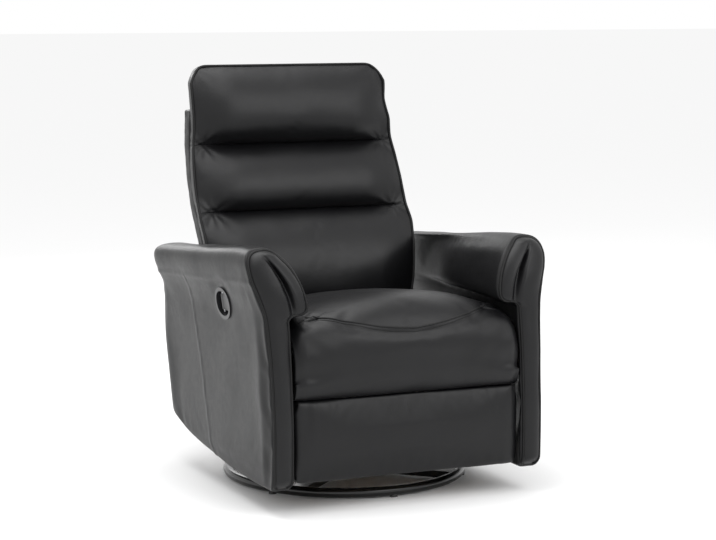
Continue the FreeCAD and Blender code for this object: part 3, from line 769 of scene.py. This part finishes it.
def make_back():
    """The puffs with their crown and sag, the piping round them, and the outer back."""
    head = (HEAD_SEAM_Z - OVERLAP, BACK_TOP_Z)
    middle = (LUMBAR_SEAM_Z - OVERLAP, HEAD_SEAM_Z + OVERLAP)
    lumbar = (LUMBAR_BOTTOM_Z, LUMBAR_SEAM_Z + OVERLAP)
    make_puff("head_puff", "head_cushion", *head, crown=0.048, sag=0.16)
    make_puff("middle_puff", "middle_cushion", *middle, crown=0.048, sag=0.20)
    make_puff("lumbar_puff", "lumbar_cushion", *lumbar, crown=0.046, sag=0.05)
    sides = {-1: [], 1: []}
    for t, side in sides.items():
        rise = back_top(t) - PIPING_LOW_Z
        for i in range(PIPING_SIDE_STEPS + 1):
            z = PIPING_LOW_Z + rise * i / PIPING_SIDE_STEPS
            y = soft_read(BACK_EDGE, z, EDGE_REACH) - PIPING_OUT
            side.append(place(back_half(z, t) * t, y, z))
    over = []
    for i in range(1, PIPING_TOP_STEPS):
        t = -1 + 2 * i / PIPING_TOP_STEPS
        half, depth, z = puff_point(HEAD_SEAM_Z, BACK_TOP_Z, t, 1.0)
        over.append(place(half * t, depth - PIPING_OUT, z))
    piping("back_piping", sides[-1] + over + sides[1][::-1], "back")
    make_shell()


def make_shell():
    """The outer back, with a bowed rear and its front tucked against the puffs."""
    front, rear = two_grids(SHELL_ROWS, SHELL_COLUMNS)
    for r in range(SHELL_ROWS):
        z = SHELL_BOTTOM_Z + (SHELL_TOP_Z - SHELL_BOTTOM_Z) * r / (SHELL_ROWS - 1)
        half = soft_read(SHELL_HALF, z)
        split = soft_read(BACK_SPLIT, z)
        for c in range(SHELL_COLUMNS):
            t = -1 + 2 * c / (SHELL_COLUMNS - 1)
            front[r, c] = place(-half * t, split + SHELL_DEPTH + SHELL_BOW * (1 - t * t), z)
            rear[r, c] = place(-half * t, split - SHELL_TUCK, z)
    obj, held = pillow("outer_back", front, rear, SHELL_LAYERS)
    inflate(obj, held, SHELL_FILLING)
    cushion(obj, "back", ["back_shell"])


# Seat: its points, its rounded sides and nose, and how much less it falls to the rear at the sides
SEAT_ROWS = 112
SEAT_COLUMNS = 88
SEAT_LAYERS = 3
SEAT_ROUND = 0.028
SEAT_ROUND_DROP = 0.010
NOSE_BOW = 0.016
NOSE_ROUND = 0.012
REAR_KEPT = 0.55
REAR_KEPT_FROM = 0.6

# Where the seat's underside lies behind its border
UNDER_FRONT_Y = -0.345
UNDER_REAR_Y = -0.33
UNDER_Z = 0.354

# Folds in the border: their spacing, slant over width and height, wander, and where they fade
BORDER_REAR_Y = -0.30
BORDER_FOLD_STEP = 0.060
BORDER_SLANT = (0.75, 0.66)
BORDER_WANDER = (3, 7)
BORDER_TOP_FADE = (-0.015, -0.05)
BORDER_LOW_FADE = (PANEL_SEAM_Z, PANEL_SEAM_Z + 0.05)
BORDER_MIDDLE_FADE = (0.10, 0.24)
BORDER_END_FADE = (0.299, 0.280)

# Welt: its steps, how wide its arc is read, and the rays that find it
WELT_STEPS = 96
WELT_READ_HALF = 0.29
WELT_RAY_Y = -0.400
WELT_RAY_BOW = 0.070
WELT_RAY_START = 0.15


def seat_profile(x):
    """Points of the seat's cover from its rear over the crown and down to the low seam."""
    spread = (abs(x) / SEAT_HALF) ** 2
    side = fade(SEAT_HALF - SEAT_ROUND, SEAT_HALF, abs(x))
    top = SEAT_SIDE_Z + SEAT_CROWN * (1 - spread) - SEAT_ROUND_DROP * side ** 2
    nose = SEAT_NOSE_Y + NOSE_BOW * spread + NOSE_ROUND * side ** 2
    share = 1 - REAR_KEPT * fade(REAR_KEPT_FROM, 1.0, abs(x) / SEAT_HALF)
    points = [(y, top - fall * share) for y, fall in SEAT_REAR]
    points.append((SEAT_CREST[0], top - SEAT_CREST[1]))
    points += [(nose + y, top - fall) for y, fall in SEAT_NOSE]
    points += [(y + back * side, z) for y, back, z in SEAT_BORDER]
    return points


def welt_z(x):
    """Height of the welt across the front of the seat, an arc that sags in the middle."""
    sag = WELT_END_Z - WELT_MIDDLE_Z
    radius = (WELT_HALF ** 2 + sag ** 2) / (2 * sag)
    return WELT_MIDDLE_Z + radius - math.sqrt(radius ** 2 - x ** 2)


def make_seat():
    front, back = two_grids(SEAT_ROWS, SEAT_COLUMNS)
    for c in range(SEAT_COLUMNS):
        t = -1 + 2 * c / (SEAT_COLUMNS - 1)
        x = 0.5 * (SEAT_HALF * math.sin(math.pi / 2 * t)) + 0.5 * SEAT_HALF * t
        line = smooth_run(seat_profile(x), SEAT_ROWS)
        for r in range(SEAT_ROWS):
            y, z = line[SEAT_ROWS - 1 - r]
            under = min(z, UNDER_Z) if y > UNDER_REAR_Y else z
            front[r, c] = place(x, y, z)
            back[r, c] = place(x * REAR_SHARE, max(y, UNDER_FRONT_Y), under)
    obj, held = pillow("seat_cover", front, back, SEAT_LAYERS)
    inflate(obj, held, SEAT_FILLING)
    soften(obj, held, 3)
    push(obj, lambda x, y, z: seat_relief(x, y - AXIS_Y, z), held)
    cushion(obj, "chair", ["seat_cushion", "seat_front_border"])
    return obj


def seat_relief(x, y, z):
    """The sewn-in line of the welt, and slack folds in the border."""
    depth = slack(x, y, z, SEAT_SLACK)
    if y > BORDER_REAR_Y:
        return depth
    gap = z - welt_z(min(abs(x), WELT_READ_HALF))
    if abs(x) < WELT_HALF:
        depth -= groove(WELT_GROOVE, gap)
        depth -= groove(STITCH_GROOVE, gap + STITCH_DROP)
    inside = fade(*BORDER_TOP_FADE, gap) * fade(*BORDER_LOW_FADE, z)
    ends = fade(*BORDER_MIDDLE_FADE, abs(x)) * fade(*BORDER_END_FADE, abs(x))
    slant = abs(x) * BORDER_SLANT[0] - z * BORDER_SLANT[1]
    most, scale = BORDER_WANDER
    turn = 2 * math.pi * slant / BORDER_FOLD_STEP + most * ripple(x, z, scale, scale, 0)
    return depth + BORDER_FOLD_DEPTH * inside * ends * math.sin(turn)


def on_seat(seat, x, z):
    """The point of the seat's cover at one place of its welt, or None.

    A slanting ray from above and in front finds it.
    """
    y = WELT_RAY_Y + WELT_RAY_BOW * (x / WELT_HALF) ** 2
    start = Vector(place(x, y - WELT_RAY_START, z + WELT_RAY_START))
    hit, location, _, _ = seat.ray_cast(start, Vector((0, 1, -1)).normalized())
    return tuple(location) if hit else None


def make_welt(seat):
    """Piping along the arc, and the line of stitches below it."""
    places = [WELT_HALF * (-1 + 2 * i / WELT_STEPS) for i in range(WELT_STEPS + 1)]
    line = [on_seat(seat, x, welt_z(x)) for x in places]
    stitches = [on_seat(seat, x, welt_z(x) - STITCH_DROP) for x in places]
    piping("seat_welt", [point for point in line if point], "chair", WELT_RADIUS)
    piping("seat_topstitch", [point for point in stitches if point], "chair", STITCH_RADIUS)


# Footrest: its points, its swell, and how its corners are rounded, as (most, shares of the height)
FOOT_ROWS = 38
FOOT_COLUMNS = 96
FOOT_LAYERS = 3
FOOT_SWELL = 0.016
FOOT_RIM = 0.16
FOOT_SIDE_ROUNDNESS = 0.6
FOOT_ROUNDNESS = 0.42
FOOT_CORNER = 0.045
TOP_CORNER_IN = (0.010, 0.86, 1.0)
LOW_CORNER_IN = (0.004, 0.12, 0.0)
TOP_CORNER_DOWN = (0.006, 0.8, 1)
LOW_CORNER_UP = (0.012, 0.25, 0)

# Gathers of the footrest: folds as (across, up, seed), how far they reach, and where they fade
FOOT_SIDE_Y = -0.37
GATHER_REACH = 0.034
GATHER_REACH_MORE = 0.046
GATHER_REACH_FADE = (0.16, 0.27)
GATHER_SHARE = 0.35
GATHER_SHARE_MORE = 0.65
GATHER_SHARE_FADE = (0.12, 0.28)
GATHER_FOLDS = (55, 5, 0.3)
GATHER_FINE_FOLDS = (110, 7, 4.1)
GATHER_FINE_SHARE = 0.6
LOW_GATHER_DEPTH = 0.003
LOW_GATHER_REACH = 0.03
LOW_GATHER_FADE = (0.20, 0.29)
LOW_GATHER_FOLDS = (60, 6, 7.7)


def rounding(corner, v, shape):
    """How much a corner of the footrest gives way at a share of its height."""
    most, start, end = shape
    return most * corner ** 2 * fade(start, end, v)


def make_footrest():
    front, back = two_grids(FOOT_ROWS, FOOT_COLUMNS)
    for r in range(FOOT_ROWS):
        v = r / (FOOT_ROWS - 1)
        z = FOOT_LOW_Z + (FOOT_TOP_Z - FOOT_LOW_Z) * v
        height = math.sin(math.pi * v) ** FOOT_ROUNDNESS
        for c in range(FOOT_COLUMNS):
            t = -1 + 2 * c / (FOOT_COLUMNS - 1)
            x = FOOT_HALF * t
            corner = max(0.0, abs(t) - (1 - FOOT_CORNER)) / FOOT_CORNER
            ends = quarter((1 - abs(t)) / FOOT_RIM) ** FOOT_SIDE_ROUNDNESS
            lift = FOOT_SWELL * height * ends
            inset = rounding(corner, v, TOP_CORNER_IN) + rounding(corner, v, LOW_CORNER_IN)
            lowered = z - rounding(corner, v, TOP_CORNER_DOWN)
            rounded = lowered + rounding(corner, v, LOW_CORNER_UP)
            front[r, c] = place(x - math.copysign(inset, x), FOOT_FRONT_Y - lift, rounded)
            back[r, c] = place(x, FOOT_BACK_Y, z)
    obj, held = pillow("footrest_cover", front, back, FOOT_LAYERS)
    inflate(obj, held, FOOT_FILLING)
    soften(obj, held, 2)
    push(obj, lambda x, y, z: footrest_relief(x, y - AXIS_Y, z), held)
    cushion(obj, "footrest", ["footrest_pad"])


def footrest_relief(x, y, z):
    """Gathers below the top seam, longest near the ends, and a slack front."""
    depth = slack(x, y, z, FOOT_SLACK)
    if y > FOOT_SIDE_Y:
        return depth
    reach = GATHER_REACH + GATHER_REACH_MORE * fade(*GATHER_REACH_FADE, abs(x))
    folds = ripple(x, z, *GATHER_FOLDS)
    folds += GATHER_FINE_SHARE * ripple(x, z, *GATHER_FINE_FOLDS)
    share = GATHER_SHARE + GATHER_SHARE_MORE * fade(*GATHER_SHARE_FADE, abs(x))
    depth += GATHER_DEPTH * bell(FOOT_TOP_Z - z, reach) * folds * share
    low = bell(z - FOOT_LOW_Z, LOW_GATHER_REACH) * fade(*LOW_GATHER_FADE, abs(x))
    return depth + LOW_GATHER_DEPTH * low * ripple(x, z, *LOW_GATHER_FOLDS)


# Arms: how many points a section has, and where along the arm the sections are
OUTER_COUNT = 92
INNER_COUNT = 80
BOTTOM_COUNT = 7
SECTION_FRONT_Y = -0.385
SECTION_SPAN = 0.735
FRONT_STATIONS = [0.0, 0.003, 0.007, 0.012]
MIDDLE_STATIONS = (0.02, 0.965, 84)
REAR_STATIONS = [0.975, 0.984, 0.991, 0.996, 0.999]

# How far the corners of an arm's tables are rounded
ARM_TOP_REACH = 0.05
ARM_BOTTOM_REACH = 0.02
ARM_FRONT_REACH = 0.008
ARM_REAR_REACH = 0.03

# Rounded ends of an arm: over which share of its length, how far drawn in, and where
FRONT_ROUND = (0.012, 0.006)
REAR_ROUND = (0.035, 0.016)
FRONT_BEHIND = 0.001
SIDE_PULL_REACH = 0.02
TOP_PULL_FADE = (0.5, 0.62)
FOOT_PULL_FADE = (0.1, 0.07)
TUCK_SHARE = 0.6
TUCK_EDGE = 0.001

# Where the outside's swell starts, and fades along the arm and up it
BULGE_EDGE = 0.004
BULGE_FRONT_FADE = (0.0, 0.07)
BULGE_REAR_FADE = (1.0, 0.93)
BULGE_FOOT_FADE = (0.07, 0.12)
BULGE_TOP_FADE = (0.62, 0.50)

# Leather further out than this has the outside's seams: one under the roll, as (depth, height),
# and one down the side, as (height, depth)
SEAMED_X = 0.345
ROLL_SEAM = [(-0.45, 0.569), (0.42, 0.505)]
SIDE_SEAM_LOW_Z = 0.08
SIDE_SEAM_RISE = 0.44
SIDE_SEAM_RUN = 0.13

# How the leather meets the handle's rim
HANDLE_SIDE_X = 0.34
HANDLE_DIP_REACH = 0.5
HANDLE_DIP_BEHIND = 0.0035
HANDLE_HOLE_INSIDE = 0.003


def arm_ring(y):
    """The section of an arm at one depth: up the outside, over the roll, down and back."""
    top = soft_read(ARM_TOP, y, ARM_TOP_REACH)
    lobe = soft_read(ARM_LOBE, y, ARM_TOP_REACH)
    low = soft_read(ARM_BOTTOM, y, ARM_BOTTOM_REACH)
    scale = (top - ARM_ROLL_Z) / (ARM_TOP_Z - ARM_ROLL_Z)
    recess = ARM_RECESS * (1 - lobe)

    def high(z):
        return ARM_ROLL_Z + (z - ARM_ROLL_Z) * scale

    def inner(x):
        return ARM_INNER_X - (ARM_INNER_X - x) * lobe + recess

    crest = [(ARM_CREST_X, top)]
    outer = [(ARM_OUTER_X + x, low + z) for x, z in ARM_OUTER_FOOT]
    outer += [(ARM_OUTER_X + x, z) for x, z in ARM_OUTER_POST]
    outer += [(x, high(z)) for x, z in ARM_OUTER_ROLL] + crest
    inside = crest + [(inner(x), high(z)) for x, z in ARM_INNER_LOBE]
    inside.append((ARM_INNER_X - TUCK_EDGE + recess, ARM_ROLL_Z))
    inside.append((ARM_INNER_X + TUCK_SHARE * recess, ARM_TUCK_Z))
    inside += [(ARM_INNER_X + x, low + z) for x, z in ARM_INNER_FOOT]
    up = smooth_run(outer, OUTER_COUNT)
    down = smooth_run(inside, INNER_COUNT)
    bottom = even([inside[-1], outer[0]], BOTTOM_COUNT)
    return np.concatenate([up, down[1:], bottom[1:-1]])


def arm_stations():
    """Shares of the way from front to rear, closer together at the rounded ends."""
    return FRONT_STATIONS + list(np.linspace(*MIDDLE_STATIONS)) + REAR_STATIONS


def side_bulge(x, z, s):
    """How far the padded outside swells beyond an arm's edges, at a share of its length."""
    if x < ARM_OUTER_X - BULGE_EDGE:
        return 0.0
    along = SIDE_BULGE * fade(*BULGE_FRONT_FADE, s) * fade(*BULGE_REAR_FADE, s)
    return along * fade(*BULGE_FOOT_FADE, z) * fade(*BULGE_TOP_FADE, z)


def end_shrink(s):
    """How far a section is drawn in at a share of the arm's length, round at both ends."""
    front_part = min(max(0.0, 1 - s / FRONT_ROUND[0]), 1)
    rear_part = max(0.0, (s - (1 - REAR_ROUND[0])) / REAR_ROUND[0])
    front_shrink = FRONT_ROUND[1] * (1 - math.sqrt(1 - front_part ** 2))
    return front_shrink + REAR_ROUND[1] * (1 - math.sqrt(1 - rear_part ** 2))


def arm_rings():
    """The rings of the left arm's cover, leaning with its front edge and rounded at both ends."""
    rings = []
    for s in arm_stations():
        ring = arm_ring(SECTION_FRONT_Y + s * SECTION_SPAN)
        shrink = end_shrink(s)
        middle = (ring[:, 0].min() + ring[:, 0].max()) / 2
        points = []
        for x, z in ring:
            y_front = soft_read(ARM_FRONT, z, ARM_FRONT_REACH) + FRONT_BEHIND
            y = y_front + (soft_read(ARM_REAR, z, ARM_REAR_REACH) - y_front) * s
            pull = shrink * max(-1.0, min(1.0, (x - middle) / SIDE_PULL_REACH))
            pull -= side_bulge(x, z, s)
            lowered = z - shrink * fade(*TOP_PULL_FADE, z)
            points.append(place(x - pull, y, lowered + shrink * fade(*FOOT_PULL_FADE, z)))
        rings.append(points)
    return np.array(rings)


def arm_seam_z(y):
    """Height of the seam under the roll on the outside."""
    (front_y, front_z), (rear_y, rear_z) = ROLL_SEAM
    return front_z + (rear_z - front_z) * (y - front_y) / (rear_y - front_y)


def arm_relief(x, y, z):
    """Sewn lines on the outside of an arm, and the slack of its large panels."""
    depth = slack(x + math.copysign(1, x), y, z, ARM_SLACK)
    if abs(x) < SEAMED_X:
        return depth
    depth -= groove(ROLL_GROOVE, z - arm_seam_z(y))
    side_seam_y = SIDE_SEAM_RUN * (z - SIDE_SEAM_LOW_Z) / SIDE_SEAM_RISE
    if z < arm_seam_z(y):
        depth -= groove(SIDE_GROOVE, y - side_seam_y)
    return depth


def arm_mesh(name, rings, side):
    """A cover from its rings, with the two ends closed by strips across the arm."""
    rows, columns = rings.shape[:2]
    faces = []
    for r in range(rows - 1):
        here, there = r * columns, (r + 1) * columns
        for c in range(columns):
            d = (c + 1) % columns
            faces.append((here + c, here + d, there + d, there + c))
    last = (rows - 1) * columns
    for c in range(columns // 2 - 1):
        strip = (c, columns - 1 - c, columns - 2 - c, c + 1)
        faces.append(strip)
        faces.append(tuple(last + i for i in strip[::-1]))
    if side < 0:
        faces = [face[::-1] for face in faces]
    held = list(range(columns)) + list(range(last, last + columns))
    return add_mesh(name, list(rings.reshape(-1, 3)), faces), held


def make_arms():
    """Fill the cover of one arm, and use its mirror image with other slack on the far side."""
    rings = arm_rings()
    left, held = arm_mesh("arm_cover_left", rings, 1)
    inflate(left, held, ARM_FILLING)
    filled = coordinates(left.data).reshape(rings.shape)
    mirror = np.array([-1, 1, 1])
    right, held = arm_mesh("arm_cover_right", filled * mirror, -1)
    for obj in (left, right):
        push(obj, lambda x, y, z: arm_relief(x, y - AXIS_Y, z), held)
    dip_to_handle(right)
    open_for_handle(right)
    for obj, name in ((left, "left"), (right, "right")):
        cushion(obj, "chair", [f"arm_side_{name}", f"arm_roll_{name}"])
    make_arm_face(1, rings[0])
    make_arm_face(-1, rings[0] * mirror)


def dip_to_handle(obj):
    """Draw the leather in to just behind the face of the handle's rim."""
    points = coordinates(obj.data)
    for point in points:
        x, y, z = point
        if x > -HANDLE_SIDE_X:
            continue
        u = (y - AXIS_Y - HANDLE_Y) / HANDLE_HALF_LENGTH
        v = (z - HANDLE_Z) / HANDLE_HALF_HEIGHT
        share = bell(max(math.hypot(u, v) - 1, 0.0), HANDLE_DIP_REACH)
        target = HANDLE_DIP_BEHIND - HANDLE_RIM_X - HANDLE_LEAN * (z - HANDLE_Z)
        point[0] = x + (target - x) * share
    set_coordinates(obj.data, points)


def open_for_handle(obj):
    """Take away the leather behind the rim of the handle."""
    half_length = HANDLE_HALF_LENGTH - HANDLE_HOLE_INSIDE
    half_height = HANDLE_HALF_HEIGHT - HANDLE_HOLE_INSIDE
    form = bmesh.new()
    form.from_mesh(obj.data)
    gone = []
    for face in form.faces:
        spot = face.calc_center_median()
        u = (spot.y - AXIS_Y - HANDLE_Y) / half_length
        v = (spot.z - HANDLE_Z) / half_height
        if spot.x < -HANDLE_SIDE_X and u * u + v * v < 1:
            gone.append(face)
    bmesh.ops.delete(form, geom=gone, context="FACES")
    form.to_mesh(obj.data)
    form.free()


# Front panels of the arms: their points, swell and piping
FACE_ROWS = 92
FACE_COLUMNS = 30
FACE_THICKNESS = 0.012
POST_SWELL = 0.012
LOBE_SWELL = 0.014
FACE_FULL_WIDTH = 0.05
FACE_LOW_SHARE = 0.06
LOBE_FADE = (0.46, 0.56)
FACE_PIPING_OUT = 0.0018

# The fold in a front panel: its share of the swell, its width, and where it fades
ARM_FOLD_SHARE = 0.92
ARM_FOLD_REACH = 0.01
ARM_FOLD_WIDTH = 0.0035
ARM_FOLD_WIDTH_MORE = 0.0045
ARM_FOLD_WIDTH_FADE = (0.61, 0.53)
ARM_FOLD_LOW_FADE = (0.45, 0.49)
ARM_FOLD_TOP_FADE = (0.635, 0.585)


def face_swell(x, z, share, width):
    """How far an arm's front panel stands out, with the deep fold between post and lobe."""
    lobe = LOBE_SWELL * fade(*LOBE_FADE, z)
    full = math.sin(math.pi * share) ** 0.5 * min(1.0, width / FACE_FULL_WIDTH)
    fold_width = ARM_FOLD_WIDTH + ARM_FOLD_WIDTH_MORE * fade(*ARM_FOLD_WIDTH_FADE, z)
    fold = bell(abs(x) - soft_read(ARM_FOLD, z, ARM_FOLD_REACH), fold_width)
    fold = fold * fade(*ARM_FOLD_LOW_FADE, z) * fade(*ARM_FOLD_TOP_FADE, z)
    return (POST_SWELL + lobe) * full * (1 - ARM_FOLD_SHARE * fold)


def make_arm_face(side, ring):
    """The front panel of an arm, between its outer and inner edges."""
    name = "left" if side > 0 else "right"
    edge_count = OUTER_COUNT + INNER_COUNT - 1
    outer_line = even(ring[:OUTER_COUNT], FACE_ROWS)
    inner_line = even(ring[OUTER_COUNT - 1:edge_count][::-1], FACE_ROWS)
    front, back = two_grids(FACE_ROWS, FACE_COLUMNS)
    for r in range(FACE_ROWS):
        low_end = quarter(r / (FACE_ROWS - 1) / FACE_LOW_SHARE)
        width = np.linalg.norm(outer_line[r] - inner_line[r])
        for c in range(FACE_COLUMNS):
            u = c / (FACE_COLUMNS - 1)
            share = u if side < 0 else 1 - u
            point = outer_line[r] * (1 - share) + inner_line[r] * share
            swell = face_swell(point[0], point[2], share, width) * low_end
            front[r, c] = point + np.array([0, -swell, 0])
            back[r, c] = point + np.array([0, FACE_THICKNESS, 0])
    obj, held = pillow(f"arm_face_{name}", front, back, 1)
    inflate(obj, held, FACE_FILLING)
    push(obj, lambda x, y, z: slack(x, y, z, FACE_SLACK), held)
    cushion(obj, "chair", [f"arm_front_{name}"])
    edge = [tuple(p + np.array([0, -FACE_PIPING_OUT, 0])) for p in ring[:edge_count]]
    piping(f"arm_piping_{name}", edge, "chair")


# Floor, light and camera
FLOOR_HALF = 60.0
FLOOR_GREY = 0.93
LAMP_TARGET_Z = 0.55

# Soft boxes, as (name, place, size, watts)
LAMPS = [
    ("top", (-0.5, 0.2, 2.9), (2.6, 1.8), 45),
    ("front_right", (1.3, -2.9, 2.9), (3.2, 2.6), 62),
    ("rear_rim", (-0.2, 4.0, 2.1), (2.0, 1.0), 24),
]


def floor_material():
    """White paper, the same to the eye, in plain light and in gloss."""
    material = bpy.data.materials.new("floor_white")
    material.use_nodes = True
    principled = material.node_tree.nodes["Principled BSDF"]
    principled.inputs["Base Color"].default_value = (FLOOR_GREY, FLOOR_GREY, FLOOR_GREY, 1)
    principled.inputs["Roughness"].default_value = 0.9
    principled.inputs["Specular IOR Level"].default_value = 0.0
    return material


def studio_world():
    """White all round, the same to the eye, in plain light and in gloss."""
    world = bpy.data.worlds.new("studio")
    bpy.context.scene.world = world
    world.use_nodes = True
    background = world.node_tree.nodes["Background"]
    background.inputs["Color"].default_value = (1, 1, 1, 1)
    background.inputs["Strength"].default_value = 1.0


def make_stage():
    span = FLOOR_HALF
    corners = [(-span, -span, 0), (span, -span, 0), (span, span, 0), (-span, span, 0)]
    floor = add_mesh("floor", corners, [(0, 1, 2, 3)])
    floor.data.materials.append(floor_material())
    studio_world()


def add_lamp(name, location, target, size, energy):
    lamp = bpy.data.lights.new(name, "AREA")
    lamp.shape = "RECTANGLE"
    lamp.size, lamp.size_y = size
    lamp.energy = energy
    obj = bpy.data.objects.new(name, lamp)
    obj.location = location
    obj.rotation_mode = "QUATERNION"
    obj.rotation_quaternion = (Vector(target) - Vector(location)).to_track_quat("-Z", "Y")
    bpy.context.scene.collection.objects.link(obj)


def make_lights():
    middle = place(0, 0, LAMP_TARGET_Z)
    for name, location, size, energy in LAMPS:
        add_lamp(name, place(*location), middle, size, energy)


def make_camera():
    data = bpy.data.cameras.new("photo_camera")
    data.lens = CAMERA_LENS
    data.sensor_width = CAMERA_SENSOR
    data.clip_end = CAMERA_REACH
    obj = bpy.data.objects.new("photo_camera", data)
    obj.location = place(CAMERA_X, CAMERA_DEPTH, CAMERA_HEIGHT)
    obj.rotation_euler = (math.radians(90 - CAMERA_PITCH), 0, math.radians(-CAMERA_TURN))
    bpy.context.scene.collection.objects.link(obj)
    bpy.context.scene.camera = obj


def main():
    bpy.context.scene.view_settings.view_transform = "Standard"
    dress_frame()
    make_back()
    seat = make_seat()
    make_welt(seat)
    make_footrest()
    make_arms()
    make_stage()
    make_lights()
    make_camera()


main()
